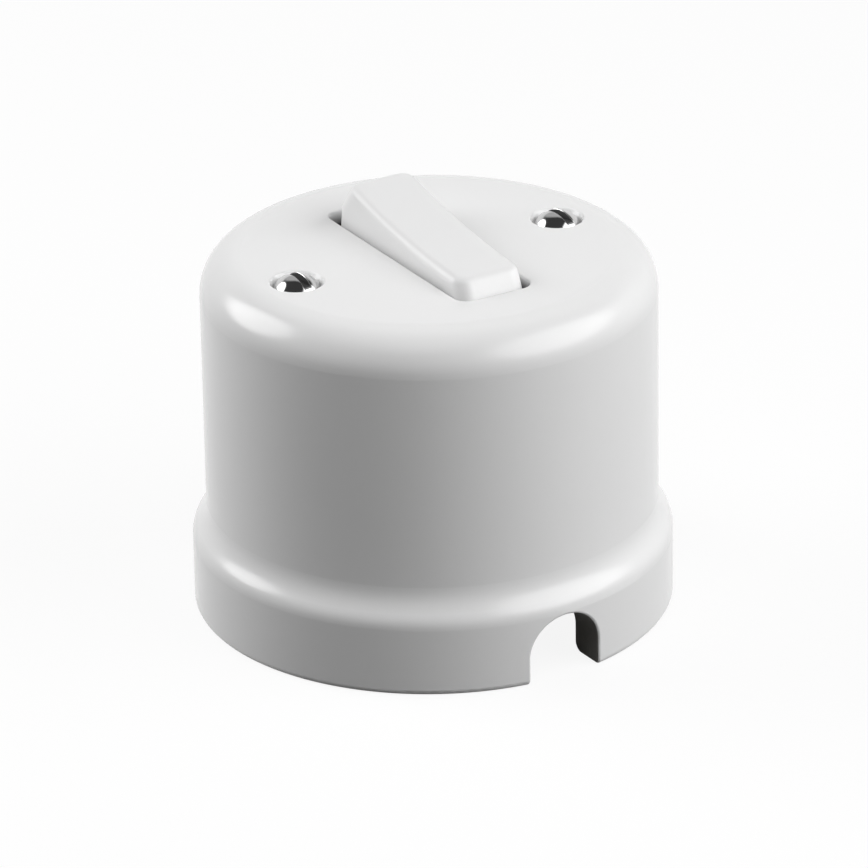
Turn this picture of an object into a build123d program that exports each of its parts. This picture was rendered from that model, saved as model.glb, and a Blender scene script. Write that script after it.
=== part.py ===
from build123d import *
import math
import os

# Surface-mounted porcelain light switch with a rocker. Millimetres and degrees.
# The wall is the plane z = 0 and +Z points out of it. The cable comes in at -Y,
# the cover screws lie on X, and the rocker rests with its +Y end raised.

# Cover
plinth_diameter = 70.0
plinth_height = 10.2
body_diameter = 65.8
cover_height = 53.9
cover_bore = 58.0
cover_top_wall = 5.0
top_edge_radius = 6.0
shoulder_radius = 3.4
shoulder_fillet = 5.6
foot_edge_radius = 0.9
bore_edge_radius = 1.5
foot_flat = 0.5
bore_corner_radius = 1.5

# Cable notch in the cover, a little to one side of the middle plane
notch_width = 11.5
notch_height = 9.8
notch_turn = 2.0
notch_edge_radius = 0.35

# Rocker, seen level
rocker_width = 10.8
rocker_length = 30.6
rocker_rise = 4.55
rocker_dish = 0.85
rocker_throw = 8.0
rocker_skirt = 1.5
rocker_corner_radius = 2.3
rocker_edge_radius = 1.3
rocker_wall = 1.9
rocker_roof = 2.4
hub_length = 7.0

# Rocker opening in the cover
opening_side_gap = 0.6
opening_end_gap = 0.25
opening_corner_radius = 2.0
opening_edge_radius = 0.5

# Rocker pin and the cheeks that carry it
pin_diameter = 2.0
cheek_cap = 1.7
cheek_thickness = 2.4
cheek_top_length = 11.0
cheek_corner_radius = 2.0
cheek_top_gap = 0.3
rocker_side_gap = 0.35
pin_press_gap = 0.01
pin_running_gap = 0.05

# Plunger, its barrel under the rocker and its spring
plunger_diameter = 4.2
plunger_gap = 0.1
plunger_guide = 4.5
plunger_reach = 4.2
plunger_spigot_length = 2.0
plunger_spigot_gap = 0.2
plunger_tip_gap = 0.05
barrel_wall = 1.3
barrel_head = 1.6
spring_room = 5.5
spring_wire = 0.5
spring_turns = 5
spring_side_gap = 0.2
spring_end_gap = 0.03

# Contacts
strip_thickness = 0.8
strip_width = 4.5
contact_reach = 10.0
contact_opening = 3.0
contact_touch_gap = 0.05
tip_diameter = 3.2
tip_height = 0.8
tip_dome_radius = 4.0
tip_shank_diameter = 1.6
tip_margin = 2.2
lever_width = 5.0
lever_thickness = 1.6
ridge_thickness = 1.2
ridge_overhang = 0.5
ridge_gap = 0.05
rivet_gap = 0.03

# Mechanism frame
pedestal_wall = 2.4
frame_floor = 3.0
chamber_end_wall = 2.0
chamber_end_gap = 0.8
chamber_end_height = 13.0
frame_slot_gap = 0.15
ledge_margin = 0.5
ledge_rib_thickness = 1.4
ledge_rib_height = 4.0
insert_diameter = 4.6
insert_length = 6.0
insert_gap = 0.02
boss_wall = 1.7
frame_screw_spacing = 20.0

# Screw terminals
clamp_size = 6.5
clamp_height = 7.5
clamp_gap = 0.6
wire_bore = 3.2
wire_floor = 1.2
terminal_screw_lift = 0.8

# Screws, all M3
screw_diameter = 3.0
screw_gap = 0.05
screw_hole_gap = 0.3
screw_slot_width = 0.9
screw_slot_depth = 0.9
pan_head_diameter = 5.6
pan_head_height = 1.9
pan_head_edge = 0.6
recess_gap = 0.4
screw_point = 0.4
cover_screw_spacing = 43.3
cover_screw_diameter = 3.5
cover_screw_length = 13.0
cover_screw_head = 6.8
cover_screw_dome = 2.0
cover_screw_sink = 0.9
cover_screw_seat_gap = 0.03
cover_screw_slot_width = 1.2
cover_screw_slot_depth = 1.2
cover_screw_slot_angles = {-1: 96.0, 1: 103.0}
countersink_diameter = 7.8
countersink_edge_radius = 0.35

# Pillars under the cover screws
pillar_flats = 6.0
pillar_gap = 0.4
pillar_thread_depth = 12.0
pillar_screw_length = 12.0
washer_diameter = 6.2
washer_thickness = 0.5
washer_gap = 0.1

# Base
base_thickness = 8.0
base_gap = 0.5
base_edge_radius = 0.8
channel_margin = 0.4
channel_wall_gap = 0.5
channel_flare = 38.0
channel_corner_radius = 2.0
frame_screw_length = 9.0
screw_seat_wall = 4.5
wall_hole_diameter = 4.5
wall_hole_circle = 45.0
wall_hole_angle = 155.0
wall_head_diameter = 9.0
wall_head_depth = 3.0

# Heights and places that follow from the driving dimensions
plinth_r = plinth_diameter / 2
body_r = body_diameter / 2
bore_r = cover_bore / 2
ceiling = cover_height - cover_top_wall
pin_depth = cover_top_wall + cheek_top_gap + cheek_cap + pin_diameter / 2
pin_height = cover_height - pin_depth
cheek_top = ceiling - cheek_top_gap
screw_rim = cover_height - cover_screw_sink

# Rocker ends are arcs about the pin, so that they keep their distance as it tilts
rocker_top = pin_depth + rocker_rise
rocker_end_arc = math.hypot(rocker_length / 2, rocker_top)
rocker_end = math.sqrt(rocker_end_arc**2 - pin_depth**2)
throw = math.radians(rocker_throw)
rocker_end_sweep = rocker_end * math.cos(throw) + pin_depth * math.sin(throw)
opening_width = rocker_width + 2 * opening_side_gap
opening_length = 2 * (rocker_end_sweep + opening_end_gap)

# Plunger, measured down from the pin
barrel_bore_r = plunger_diameter / 2 + plunger_gap
barrel_top = pin_diameter / 2 + barrel_head
plunger_shoulder = barrel_top + spring_room
barrel_end = plunger_shoulder + plunger_guide
plunger_tip = barrel_end + plunger_reach

# Contact lever under it: tilted to close one contact, with the other held open
lever_axis = pin_height - plunger_tip - plunger_tip_gap - lever_thickness
lever_tilt = math.degrees(math.asin(contact_opening / (2 * contact_reach)))
tilt = math.radians(lever_tilt)
dome_rise = tip_dome_radius - tip_height - rivet_gap
dome_drop = contact_reach * math.sin(tilt) - dome_rise * math.cos(tilt)
contact_y = contact_reach * math.cos(tilt) + dome_rise * math.sin(tilt)
lever_half = contact_reach + tip_margin
lever_end_sweep = lever_half * math.cos(tilt) + lever_thickness * math.sin(tilt)

# Fixed contacts and the floor that carries them, on a pedestal that makes up the height
strip_top = lever_axis - dome_drop - tip_dome_radius - contact_touch_gap - tip_height
floor_top = strip_top - strip_thickness
floor_bottom = floor_top - frame_floor

# Frame chamber round the lever
chamber_inner_x = rocker_width / 2 + rocker_side_gap
chamber_outer_x = chamber_inner_x + cheek_thickness
chamber_inner_y = lever_end_sweep + chamber_end_gap
chamber_outer_y = chamber_inner_y + chamber_end_wall

# Clamp places: front, rear and common
clamp_y = chamber_outer_y + clamp_gap + clamp_size / 2
clamp_x = chamber_outer_x + clamp_gap + clamp_size / 2
clamp_places = [(0, -clamp_y, -90), (0, clamp_y, 90), (clamp_x, 0, 0)]
ledge_reach_y = clamp_y + clamp_size / 2 + ledge_margin
ledge_reach_x = clamp_x + clamp_size / 2 + ledge_margin
ledge_half = clamp_size / 2 + clamp_gap / 2 + ledge_rib_thickness

pillar_x = cover_screw_spacing / 2
sides = (-1, 1)


def rod(radius, bottom, top, x=0, y=0):
    """Upright cylinder between two heights."""
    return Pos(x, y, (bottom + top) / 2) * Cylinder(radius, top - bottom)


def cross_rod(radius, half_length, height):
    """Cylinder along X through the centre plane."""
    return Pos(0, 0, height) * Rot(0, 90, 0) * Cylinder(radius, 2 * half_length)


def block(low, high):
    """Box between two opposite corners."""
    size = [b - a for a, b in zip(low, high)]
    middle = [(a + b) / 2 for a, b in zip(low, high)]
    return Pos(*middle) * Box(*size)


def turned(points_and_arcs):
    """Solid of revolution about Z from lines that close a half section in X and Z."""
    return revolve(Plane.XZ * make_face(points_and_arcs), Axis.Z)


def tipped(shape, height, angle):
    """Turn a shape about the X line at a height."""
    return shape.rotate(Axis((0, 0, height), (1, 0, 0)), angle)


def driver_slot(head_top, angle, reach, width, depth):
    """Cutter for a straight driver slot."""
    return Pos(0, 0, head_top) * Rot(0, 0, angle) * Box(reach, width, 2 * depth)


def pan_screw(length, slot_angle):
    """Slotted pan-head screw, head seat at z = 0, shank pointing to -Z."""
    r = screw_diameter / 2
    shank = chamfer(rod(r, -length, 0).faces().sort_by(Axis.Z)[0].edges(), screw_point)
    head = rod(pan_head_diameter / 2, 0, pan_head_height)
    head = fillet(head.faces().sort_by(Axis.Z)[-1].edges(), pan_head_edge)
    slot = driver_slot(
        pan_head_height, slot_angle, pan_head_diameter, screw_slot_width, screw_slot_depth
    )
    return shank + head - slot


def make_cover():
    # The shoulder is two tangent arcs: round above the plinth, then hollow up to the body
    step = plinth_r - body_r
    lean = math.copysign(1, step)
    turn = math.acos(1 - abs(step) / (shoulder_radius + shoulder_fillet))
    round_x = plinth_r - lean * shoulder_radius
    hollow_x = body_r + lean * shoulder_fillet
    shoulder_top = plinth_height + (shoulder_radius + shoulder_fillet) * math.sin(turn)

    def on_round(angle):
        return (
            round_x + lean * shoulder_radius * math.cos(angle),
            plinth_height + shoulder_radius * math.sin(angle),
        )

    def on_hollow(angle):
        return (
            hollow_x - lean * shoulder_fillet * math.cos(angle),
            shoulder_top - shoulder_fillet * math.sin(angle),
        )

    outline = Polyline((bore_r, 0), (plinth_r, 0), (plinth_r, plinth_height)) + [
        ThreePointArc((plinth_r, plinth_height), on_round(turn / 2), on_round(turn)),
        ThreePointArc(on_round(turn), on_hollow(turn / 2), (body_r, shoulder_top)),
        Polyline(
            (body_r, shoulder_top),
            (body_r, cover_height),
            (0, cover_height),
            (0, ceiling),
            (bore_r, ceiling),
            (bore_r, 0),
        ),
    ]
    section = make_face(outline)
    foot_room = plinth_r - bore_r - foot_flat
    foot_share = min(1, foot_room / (foot_edge_radius + bore_edge_radius))
    rounded_corners = [
        (plinth_r, 0, foot_share * foot_edge_radius),
        (body_r, cover_height, top_edge_radius),
        (bore_r, ceiling, bore_corner_radius),
        (bore_r, 0, foot_share * bore_edge_radius),
    ]
    for x, z, radius in rounded_corners:
        section = fillet(section.vertices().sort_by_distance((x, z, 0))[0], radius)
    shell = revolve(Plane.XZ * section, Axis.Z)

    rocker_hole = RectangleRounded(opening_width, opening_length, opening_corner_radius)
    shell -= Pos(0, 0, ceiling) * extrude(rocker_hole, 2 * cover_top_wall)
    seat_r = cover_screw_head / 2 + cover_screw_seat_gap
    for side in sides:
        x = side * pillar_x
        shell -= rod(cover_screw_diameter / 2 + screw_hole_gap, ceiling, cover_height, x)
        shell -= Pos(x, 0, screw_rim - seat_r / 2) * Cone(0, seat_r, seat_r)
        recess = Cone(seat_r, countersink_diameter / 2, cover_screw_sink)
        shell -= Pos(x, 0, (screw_rim + cover_height) / 2) * recess
        shell -= rod(pillar_flats / math.sqrt(3) + pillar_gap, 0, ceiling, x)

    top_edges = shell.faces().filter_by(Plane.XY).sort_by(Axis.Z)[-1].inner_wires()
    for wire in top_edges:
        is_screw_hole = abs(wire.center().X) > opening_width / 2
        radius = countersink_edge_radius if is_screw_hole else opening_edge_radius
        shell = fillet(nearest_edges(shell, wire), radius)

    notch_r = notch_width / 2
    notch_side = notch_height - notch_r
    arch = Pos(0, notch_side) * Circle(notch_r)
    arch += Pos(0, notch_side / 2) * Rectangle(notch_width, notch_side)
    shell -= Rot(0, 0, notch_turn) * extrude(Plane.XZ * arch, plinth_diameter)
    turn = math.radians(notch_turn)
    crown = (plinth_r * math.sin(turn), -plinth_r * math.cos(turn), notch_height)
    arch_edge = shell.edges().sort_by_distance(crown)[0]
    return fillet(arch_edge, notch_edge_radius)


def nearest_edges(shape, wire):
    """Edges of a shape that lie where a wire's edges lie."""
    found = []
    for edge in wire.edges():
        found.append(shape.edges().sort_by_distance(edge @ 0.5)[0])
    return found


def make_cover_screw(side):
    """Raised countersunk screw in its countersink."""
    r = cover_screw_diameter / 2
    head_r = cover_screw_head / 2
    rim = screw_rim
    neck = rim - (head_r - r)
    tip = neck - cover_screw_length
    dome_top = rim + cover_screw_dome
    dome_r = (head_r**2 + cover_screw_dome**2) / (2 * cover_screw_dome)
    dome_turn = math.asin(head_r / dome_r) / 2
    dome_middle = (dome_r * math.sin(dome_turn), dome_top - dome_r * (1 - math.cos(dome_turn)))
    screw = turned(
        [
            ThreePointArc((0, dome_top), dome_middle, (head_r, rim)),
            Polyline(
                (head_r, rim),
                (r, neck),
                (r, tip + screw_point),
                (r - screw_point, tip),
                (0, tip),
                (0, dome_top),
            ),
        ]
    )
    slot = driver_slot(
        dome_top,
        cover_screw_slot_angles[side],
        cover_screw_head,
        cover_screw_slot_width,
        cover_screw_slot_depth,
    )
    return Pos(side * pillar_x, 0, 0) * (screw - slot)


def make_pillar(side):
    """Hexagon pillar with a tapped hole in each end."""
    hexagon = RegularPolygon(pillar_flats / 2, 6, major_radius=False, rotation=30)
    pillar = Pos(0, 0, base_thickness) * extrude(hexagon, ceiling - base_thickness)
    cover_hole_r = cover_screw_diameter / 2 + screw_gap
    base_hole_r = screw_diameter / 2 + screw_gap
    pillar -= rod(cover_hole_r, ceiling - pillar_thread_depth, ceiling)
    pillar -= rod(base_hole_r, base_thickness, base_thickness + pillar_thread_depth)
    return Pos(side * pillar_x, 0, 0) * pillar


def make_pillar_washer(side):
    ring = Circle(washer_diameter / 2) - Circle(screw_diameter / 2 + washer_gap)
    washer = extrude(ring, washer_thickness)
    return Pos(side * pillar_x, 0, base_thickness - screw_seat_wall - washer_thickness) * washer


def make_pillar_screw(side):
    """Screw driven from behind, its head sunk in the back of the base."""
    seat = base_thickness - screw_seat_wall - washer_thickness
    screw = pan_screw(pillar_screw_length, side * 35)
    return Pos(side * pillar_x, 0, seat) * Rot(180, 0, 0) * screw


def make_frame_screw(side):
    seat = base_thickness - screw_seat_wall
    screw = pan_screw(frame_screw_length, 90 - side * 20)
    return Pos(0, side * frame_screw_spacing / 2, seat) * Rot(180, 0, 0) * screw


def make_base():
    base_r = bore_r - base_gap
    base = rod(base_r, 0, base_thickness)
    base = fillet(base.edges().filter_by(GeomType.CIRCLE), base_edge_radius)

    # Cable channel, in line with the notch and widening to the terminals
    channel_half = notch_width / 2 + channel_margin
    channel_end = chamber_outer_y + channel_wall_gap
    flare = (base_r - channel_end) * math.tan(math.radians(channel_flare))
    channel = Polygon(
        (-channel_half, -plinth_r),
        (channel_half, -plinth_r),
        (channel_half, -base_r),
        (channel_half + flare, -channel_end),
        (-channel_half - flare, -channel_end),
        (-channel_half, -base_r),
        align=None,
    )
    channel = fillet(channel.vertices().sort_by(Axis.Y)[-2:], channel_corner_radius)
    base -= Rot(0, 0, notch_turn) * extrude(channel, base_thickness)

    hole_r = screw_diameter / 2 + screw_hole_gap
    recess_depth = base_thickness - screw_seat_wall
    recess_r = washer_diameter / 2 + recess_gap
    for side in sides:
        for x, y in ((side * pillar_x, 0), (0, side * frame_screw_spacing / 2)):
            base -= rod(hole_r, 0, base_thickness, x, y)
            base -= rod(recess_r, 0, recess_depth, x, y)
        turn = math.radians(wall_hole_angle)
        x = side * wall_hole_circle / 2 * math.cos(turn)
        y = side * wall_hole_circle / 2 * math.sin(turn)
        base -= rod(wall_hole_diameter / 2, 0, base_thickness, x, y)
        base -= rod(wall_head_diameter / 2, base_thickness - wall_head_depth, base_thickness, x, y)
    return base


def make_frame():
    """One moulding: pedestal, floor with terminal ledges, contact chamber and pin cheeks."""
    outer_x = chamber_outer_x
    outer_y = chamber_outer_y
    frame = block((-outer_x, -outer_y, base_thickness), (outer_x, outer_y, floor_top))
    inner_x = outer_x - pedestal_wall
    inner_y = outer_y - pedestal_wall
    frame -= block((-inner_x, -inner_y, base_thickness), (inner_x, inner_y, floor_bottom))
    frame += block((-ledge_half, -ledge_reach_y, floor_bottom), (ledge_half, ledge_reach_y, floor_top))
    frame += block((0, -ledge_half, floor_bottom), (ledge_reach_x, ledge_half, floor_top))

    chamber_end_top = floor_top + chamber_end_height
    cheek = Polygon(
        (-outer_y, floor_bottom),
        (outer_y, floor_bottom),
        (outer_y, chamber_end_top),
        (cheek_top_length / 2, cheek_top),
        (-cheek_top_length / 2, cheek_top),
        (-outer_y, chamber_end_top),
        align=None,
    )
    cheek = fillet(cheek.vertices().sort_by(Axis.Y)[-2:], cheek_corner_radius)
    walls = extrude(Plane.YZ * cheek, outer_x, both=True)
    room_y = chamber_inner_y
    walls -= block((-chamber_inner_x, -room_y, floor_top), (chamber_inner_x, room_y, chamber_end_top))
    walls -= block(
        (-chamber_inner_x, -outer_y, chamber_end_top),
        (chamber_inner_x, outer_y, cheek_top),
    )
    frame += walls

    rib_inner = clamp_size / 2 + clamp_gap / 2
    for x, y, angle in clamp_places:
        for side in sides:
            rib = block(
                (-clamp_size / 2, min(side * rib_inner, side * ledge_half), floor_top),
                (clamp_size / 2, max(side * rib_inner, side * ledge_half), floor_top + ledge_rib_height),
            )
            frame += Pos(x, y, 0) * Rot(0, 0, angle) * rib

    slot_half = strip_width / 2 + frame_slot_gap
    slot_top = strip_top + frame_slot_gap
    frame -= block((-slot_half, -outer_y, floor_top), (slot_half, outer_y, slot_top))
    frame -= block((0, -slot_half, floor_top), (outer_x, slot_half, slot_top))
    frame -= cross_rod(pin_diameter / 2 + pin_press_gap, outer_x, pin_height)

    insert_r = insert_diameter / 2 + insert_gap
    for side in sides:
        y = side * frame_screw_spacing / 2
        frame += rod(insert_diameter / 2 + boss_wall, base_thickness, floor_bottom, 0, y)
        frame -= rod(insert_r, base_thickness, base_thickness + insert_length, 0, y)
    return frame


def make_frame_insert(side):
    """Brass thread insert in the foot of the frame."""
    ring = Circle(insert_diameter / 2) - Circle(screw_diameter / 2 + screw_gap)
    insert = extrude(ring, insert_length)
    return Pos(0, side * frame_screw_spacing / 2, base_thickness) * insert


def contact_tip(shank_length):
    """Domed rivet, head seat at z = 0 and dome up, shank down."""
    head_r = tip_diameter / 2
    rim = tip_height - tip_dome_radius + math.sqrt(tip_dome_radius**2 - head_r**2)
    half_turn = math.asin(head_r / tip_dome_radius) / 2
    dome_middle = (
        tip_dome_radius * math.sin(half_turn),
        tip_height - tip_dome_radius * (1 - math.cos(half_turn)),
    )
    shank_r = tip_shank_diameter / 2
    return turned(
        [
            ThreePointArc((0, tip_height), dome_middle, (head_r, rim)),
            Polyline(
                (head_r, rim),
                (head_r, 0),
                (shank_r, 0),
                (shank_r, -shank_length),
                (0, -shank_length),
                (0, tip_height),
            ),
        ]
    )


def make_fixed_contact(side):
    """Strip from under a lever end, through the chamber wall, to a terminal clamp."""
    inner_y = contact_y - tip_diameter / 2 - tip_margin / 2
    outer_y = clamp_y + clamp_size / 2
    strip = block((-strip_width / 2, inner_y, floor_top), (strip_width / 2, outer_y, strip_top))
    strip -= rod(tip_shank_diameter / 2 + rivet_gap, floor_top, strip_top, 0, contact_y)
    return Rot(0, 0, 0 if side > 0 else 180) * strip


def make_fixed_tip(side):
    return Pos(0, side * contact_y, strip_top) * contact_tip(strip_thickness)


def make_common_contact():
    """Bar with the upright ridge that the lever rocks on, led out to its clamp."""
    half = strip_width / 2
    bar = block((-ridge_half_length(), -half, floor_top), (clamp_x + clamp_size / 2, half, strip_top))
    ridge_r = ridge_thickness / 2
    length = ridge_half_length()
    bar += block((-length, -ridge_r, strip_top), (length, ridge_r, lever_axis))
    return bar + cross_rod(ridge_r, length, lever_axis)


def ridge_half_length():
    return lever_width / 2 + ridge_overhang


def make_lever_level():
    """Contact lever lying level, with the groove that sits on the ridge."""
    lever = Pos(0, 0, lever_axis) * extrude(
        RectangleRounded(lever_width, 2 * lever_half, lever_width / 2 - ridge_gap), lever_thickness
    )
    lever -= cross_rod(ridge_thickness / 2 + ridge_gap, lever_width, lever_axis)
    for side in sides:
        hole_r = tip_shank_diameter / 2 + rivet_gap
        lever -= rod(hole_r, lever_axis, lever_axis + lever_thickness, 0, side * contact_reach)
    return lever


def make_lever_tip_level(side):
    tip = Rot(180, 0, 0) * contact_tip(lever_thickness)
    return Pos(0, side * contact_reach, lever_axis - rivet_gap) * tip


def make_clamp(x, y, angle):
    """Brass block with a wire bore along its own X and a tapped hole from the top."""
    half = clamp_size / 2
    clamp = block((-half, -half, strip_top), (half, half, strip_top + clamp_height))
    clamp = fillet(clamp.edges().filter_by(Axis.Z), clamp_gap)
    bore_height = strip_top + wire_floor + wire_bore / 2
    bore = Pos(0, 0, bore_height) * Rot(0, 90, 0) * Cylinder(wire_bore / 2, clamp_size)
    clamp -= bore
    clamp -= rod(screw_diameter / 2 + screw_gap, bore_height, strip_top + clamp_height)
    return Pos(x, y, 0) * Rot(0, 0, angle) * clamp


def make_terminal_screw(x, y, angle):
    length = clamp_height + terminal_screw_lift - wire_floor - wire_bore
    seat = strip_top + clamp_height + terminal_screw_lift
    return Pos(x, y, seat) * pan_screw(length, angle + 25)


def make_rocker_level():
    """Rocker lying level: dished top, ends on arcs about the pin, hub and spring barrel."""
    half = rocker_length / 2
    arc_turn = (math.atan2(rocker_top, half) + math.asin(pin_depth / rocker_end_arc)) / 2
    arc_middle = (
        rocker_end_arc * math.cos(arc_turn),
        rocker_end_arc * math.sin(arc_turn),
    )
    profile = make_face(
        [
            Polyline((-rocker_end, pin_depth), (-rocker_end, -rocker_skirt)),
            Polyline((-rocker_end, -rocker_skirt), (rocker_end, -rocker_skirt)),
            Polyline((rocker_end, -rocker_skirt), (rocker_end, pin_depth)),
            ThreePointArc((rocker_end, pin_depth), arc_middle, (half, rocker_top)),
            ThreePointArc((half, rocker_top), (0, rocker_top - rocker_dish), (-half, rocker_top)),
            ThreePointArc(
                (-half, rocker_top), (-arc_middle[0], arc_middle[1]), (-rocker_end, pin_depth)
            ),
        ]
    )
    body = extrude(Plane.YZ * profile, rocker_width / 2, both=True)
    end_edges = []
    for edge in body.edges():
        middle = edge @ 0.5
        on_side = abs(abs(middle.X) - rocker_width / 2) < screw_gap
        if on_side and abs(middle.Y) > half and middle.Z > -rocker_skirt:
            end_edges.append(edge)
    body = fillet(end_edges, rocker_corner_radius)
    top_face = body.faces().sort_by_distance((0, 0, rocker_top - rocker_dish))[0]
    body = fillet(top_face.edges(), rocker_edge_radius)

    room_x = rocker_width / 2 - rocker_wall
    room_y = rocker_end - rocker_wall
    room_top = rocker_top - rocker_dish - rocker_roof
    room_top_y = half - rocker_wall
    room = Polygon(
        (-room_y, -rocker_skirt),
        (room_y, -rocker_skirt),
        (room_y, pin_depth - rocker_wall),
        (room_top_y, room_top),
        (-room_top_y, room_top),
        (-room_y, pin_depth - rocker_wall),
        align=None,
    )
    body -= extrude(Plane.YZ * room, room_x, both=True)
    hub_half = hub_length / 2
    body += block((-room_x, -hub_half, -rocker_skirt), (room_x, hub_half, room_top))
    body += rod(barrel_bore_r + barrel_wall, -barrel_end, -rocker_skirt)
    body -= rod(barrel_bore_r, -barrel_end, -barrel_top)
    body -= cross_rod(pin_diameter / 2 + pin_running_gap, rocker_width, 0)
    return Pos(0, 0, pin_height) * body


def make_plunger_level():
    r = plunger_diameter / 2
    spigot_r = r - spring_side_gap - spring_wire - plunger_spigot_gap
    spigot_top = plunger_spigot_length - plunger_shoulder
    nose = r - plunger_tip
    plunger = turned(
        [
            Polyline(
                (0, spigot_top),
                (spigot_r, spigot_top),
                (spigot_r, -plunger_shoulder),
                (r, -plunger_shoulder),
                (r, nose),
            ),
            ThreePointArc(
                (r, nose),
                (r * math.sqrt(0.5), nose - r * math.sqrt(0.5)),
                (0, -plunger_tip),
            ),
            Polyline((0, -plunger_tip), (0, spigot_top)),
        ]
    )
    return Pos(0, 0, pin_height) * plunger


def make_spring_level():
    """Helical spring between the head of the barrel and the plunger's shoulder."""
    room = plunger_shoulder - barrel_top - 2 * spring_end_gap
    rise = room - spring_wire
    mean_r = plunger_diameter / 2 - spring_side_gap - spring_wire / 2
    path = Helix(rise / spring_turns, rise, mean_r)
    wire = Plane(path @ 0, z_dir=path % 0) * Circle(spring_wire / 2)
    bottom = pin_height - plunger_shoulder + spring_end_gap + spring_wire / 2
    return Pos(0, 0, bottom) * sweep(wire, path)


def group(solids):
    """Like pieces kept as separate solids in one node."""
    return Compound(children=list(solids))


fixed_pieces = {
    "cover": make_cover(),
    "cover_screws": group(make_cover_screw(side) for side in sides),
    "cover_pillars": group(make_pillar(side) for side in sides),
    "pillar_washers": group(make_pillar_washer(side) for side in sides),
    "pillar_screws": group(make_pillar_screw(side) for side in sides),
    "base": make_base(),
    "mechanism_frame": make_frame(),
    "frame_inserts": group(make_frame_insert(side) for side in sides),
    "mechanism_screws": group(make_frame_screw(side) for side in sides),
    "rocker_pin": cross_rod(pin_diameter / 2, chamber_outer_x, pin_height),
    "common_contact": make_common_contact(),
    "front_contact": make_fixed_contact(-1),
    "rear_contact": make_fixed_contact(1),
    "fixed_contact_tips": group(make_fixed_tip(side) for side in sides),
    "terminal_clamps": group(make_clamp(*place) for place in clamp_places),
    "terminal_screws": group(make_terminal_screw(*place) for place in clamp_places),
}
rocking_pieces = {
    "rocker": make_rocker_level(),
    "plunger": make_plunger_level(),
    "plunger_spring": make_spring_level(),
}
lever_pieces = {
    "contact_lever": [make_lever_level()],
    "lever_contact_tips": [make_lever_tip_level(side) for side in sides],
}

# At rest the +Y end of the rocker is raised, and the lever closes the rear contact
parts = dict(fixed_pieces)
for name, piece in rocking_pieces.items():
    parts[name] = tipped(piece, pin_height, rocker_throw)
for name, pieces in lever_pieces.items():
    parts[name] = group(tipped(piece, lever_axis, -lever_tilt) for piece in pieces)

os.makedirs("parts", exist_ok=True)
for name, piece in parts.items():
    export_step(piece, f"parts/{name}.step")
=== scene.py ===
"""Looks of a porcelain light switch: glazed cover, white rocker, plated screws, inner works."""

import math
from collections import namedtuple

import bmesh
import bpy
from bpy.props import FloatProperty, FloatVectorProperty, PointerProperty
from bpy.types import Operator, Panel, PropertyGroup
from mathutils import Matrix, Vector


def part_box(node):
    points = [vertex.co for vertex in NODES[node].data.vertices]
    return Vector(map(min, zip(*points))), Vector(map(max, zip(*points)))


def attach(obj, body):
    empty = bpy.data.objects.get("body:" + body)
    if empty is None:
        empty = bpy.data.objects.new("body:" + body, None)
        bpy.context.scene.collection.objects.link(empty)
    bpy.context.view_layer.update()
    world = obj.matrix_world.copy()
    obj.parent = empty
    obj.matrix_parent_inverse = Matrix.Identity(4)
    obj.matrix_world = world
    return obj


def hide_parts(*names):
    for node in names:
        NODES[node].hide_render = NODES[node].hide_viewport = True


bl_info = {
    "name": "Porcelain light switch",
    "version": (1, 0, 0),
    "blender": (4, 5, 0),
    "location": "3D View > Sidebar > Light switch",
    "description": "Dresses the packed model of a porcelain light switch and sets up its studio",
    "category": "Object",
}

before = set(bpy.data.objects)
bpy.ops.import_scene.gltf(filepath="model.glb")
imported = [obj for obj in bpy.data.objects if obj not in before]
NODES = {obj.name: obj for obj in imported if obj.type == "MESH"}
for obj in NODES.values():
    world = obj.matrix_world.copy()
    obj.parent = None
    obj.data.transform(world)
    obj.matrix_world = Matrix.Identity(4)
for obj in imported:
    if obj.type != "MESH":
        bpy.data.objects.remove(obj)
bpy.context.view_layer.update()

MM = 0.001

# Part of a texture's range that carries its contrast: plain noise, and drawn or turned lines
NOISE_SPAN = (0.3, 0.7)
LINES_SPAN = (0.35, 0.7)

# Scales of the lines along X, Y and Z
DRAWN = (300, 9000, 9000)
GROUND = (200, 9000, 9000)
TURNED = (9000, 9000, 300)
FACED = (9000, 1500, 1500)

# Metals by slot: the property with the colour, lowest and highest roughness, and lines
METALS = {
    "brass": ("brass", 0.22, 0.36, DRAWN),
    "zinc_steel": ("zinc", 0.25, 0.42, TURNED),
    "pin_steel": ("steel", 0.16, 0.3, GROUND),
    "spring_steel": ("spring", 0.2, 0.34, TURNED),
    "silver_tips": ("silver", 0.18, 0.3, TURNED),
}

# Colour sockets of a Mix node: its two inputs and its output
MIX_FIRST, MIX_SECOND, MIX_RESULT = 6, 7, 2

# Screws: seat of the cover screws below the top, and turns of the hidden ones in radians
COVER_SCREW_SINK = 0.9 * MM
PILLAR_SCREW_TURN = 1.0
FRAME_SCREW_TURN = 0.35
TERMINAL_SCREW_TURNS = (0.4, 1.1, -0.7)

# Heads: lines on a land and a lip, points along a line; painted shade fills the slot from a share
# of the lip's depth
LAND_LINES = 14
LIP_LINES = 4
LOOP_POINTS = 41
HEAD_WELD = 1e-7
SLOT_SHADE_FROM = 0.9

# Shanks: the thread starts, and is full, at so many pitches below the neck
THREAD_SIDES = 40
RINGS_PER_TURN = 8
END_RINGS = 4
THREAD_STARTS, THREAD_FULL = 1, 3
SHANK_WELD = 1e-6
SHARP_FOLD = math.radians(38)

# Camera and floor
IMAGE_PIXELS = 868
SENSOR_WIDTH = 36.0
CLIP_START, CLIP_END = 0.01, 20.0
FLOOR_REACH = 3.0
FLOOR_WHITE = 0.95

# World: sines of the heights where the white ends, and the backdrop's height and cosines
HORIZON_FADE = (0.42, 0.66)
BACKDROP_RISE = math.radians(42)
BACKDROP_FADE = (0.80, 0.92)

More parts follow.
